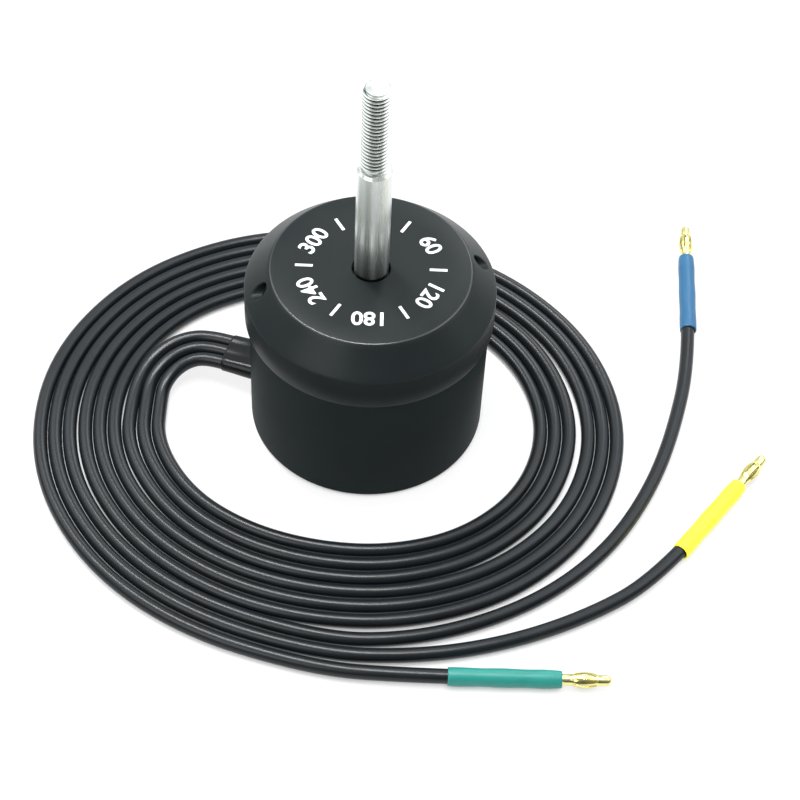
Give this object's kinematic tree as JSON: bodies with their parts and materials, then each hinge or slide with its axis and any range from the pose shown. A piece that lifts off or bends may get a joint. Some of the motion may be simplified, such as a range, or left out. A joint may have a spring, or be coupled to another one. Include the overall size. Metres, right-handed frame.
{
  "type": "efoil motor",
  "caption": "Sealed brushless outrunner motor for a hydrofoil board, with bevelled cap, threaded shaft and coiled leads with bullet connectors.",
  "frame": {"origin": "centre of the motor's rear face, which it stands on", "axes": "+Z along the shaft towards its threaded end, -Y towards the viewer of the picture, +X to the viewer's right"},
  "size_m": [0.2241, 0.1814, 0.131],
  "materials": {
    "black_anodised": "satin black anodised",
    "shell_black": "satin black anodised",
    "stainless_shaft": "ground and polished",
    "bearing_steel": "polished",
    "steel": "satin",
    "spring_steel": "satin",
    "core_steel": "laminated, satin",
    "magnet_nickel": "satin nickel plate",
    "winding_copper": "enamelled copper",
    "insulator_resin": "matte",
    "seal_rubber": "matte",
    "silicone_black": "satin silicone",
    "potting_resin": "gloss",
    "boot_black": "shrunk, satin",
    "sleeve_green": "shrunk, satin",
    "sleeve_yellow": "shrunk, satin",
    "sleeve_blue": "shrunk, satin",
    "gold": "polished gold plate"
  },
  "bodies": {
    "housing": {"shell": "shell_black", "rear_cover": "shell_black", "front_cap": "black_anodised", "rear_cover_screws": "steel", "bearing_spacer": "steel", "disc_spring": "spring_steel", "seal_garter_spring": "spring_steel", "cap_o_ring": "seal_rubber", "rear_o_ring": "seal_rubber", "shaft_seal": "seal_rubber", "front_bearing_outer_ring": "bearing_steel", "mid_bearing_outer_ring": "bearing_steel", "rear_bearing_outer_ring": "bearing_steel", "stator_core": "core_steel", "stator_insulators": "insulator_resin", "winding_phase_a": "winding_copper", "winding_phase_b": "winding_copper", "winding_phase_c": "winding_copper", "inner_leads": "silicone_black", "lead_coil": "silicone_black", "lead_potting": "potting_resin", "lead_boot": "boot_black", "lead_blue_root": "silicone_black", "lead_blue_tail": "silicone_black", "sleeve_blue": "sleeve_blue", "bullet_pin_blue": "gold", "bullet_spring_blue": "gold", "lead_yellow_root": "silicone_black", "lead_yellow_tail": "silicone_black", "sleeve_yellow": "sleeve_yellow", "bullet_pin_yellow": "gold", "bullet_spring_yellow": "gold", "lead_green_root": "silicone_black", "lead_green_tail": "silicone_black", "sleeve_green": "sleeve_green", "bullet_pin_green": "gold", "bullet_spring_green": "gold"},
    "rotor": {"shaft": "stainless_shaft", "shaft_circlip": "spring_steel", "rotor_hub": "steel", "hub_grub_screws": "steel", "hub_shims": "steel", "flux_ring": "steel", "magnets": "magnet_nickel", "front_bearing_inner_ring": "bearing_steel", "mid_bearing_inner_ring": "bearing_steel", "rear_bearing_inner_ring": "bearing_steel"},
    "front_bearing_rolling": {"front_bearing_balls": "bearing_steel", "front_bearing_cage": "steel"},
    "mid_bearing_rolling": {"mid_bearing_balls": "bearing_steel", "mid_bearing_cage": "steel"},
    "rear_bearing_rolling": {"rear_bearing_balls": "bearing_steel", "rear_bearing_cage": "steel"}
  },
  "joints": [
    {"name": "rotor_spin", "type": "hinge", "parent": "housing", "child": "rotor", "pos_m": [0, 0, 0.06], "axis": [0, 0, 1], "continuous": true},
    {"name": "front_cage_spin", "type": "hinge", "parent": "housing", "child": "front_bearing_rolling", "pos_m": [0, 0, 0.051], "axis": [0, 0, 1], "continuous": true},
    {"name": "mid_cage_spin", "type": "hinge", "parent": "housing", "child": "mid_bearing_rolling", "pos_m": [0, 0, 0.0345], "axis": [0, 0, 1], "continuous": true},
    {"name": "rear_cage_spin", "type": "hinge", "parent": "housing", "child": "rear_bearing_rolling", "pos_m": [0, 0, 0.0086], "axis": [0, 0, 1], "continuous": true}
  ],
  "couplings": [
    {"joint": "front_cage_spin", "follows": "rotor_spin", "ratio": 0.3678},
    {"joint": "mid_cage_spin", "follows": "rotor_spin", "ratio": 0.4},
    {"joint": "rear_cage_spin", "follows": "rotor_spin", "ratio": 0.4}
  ]
}
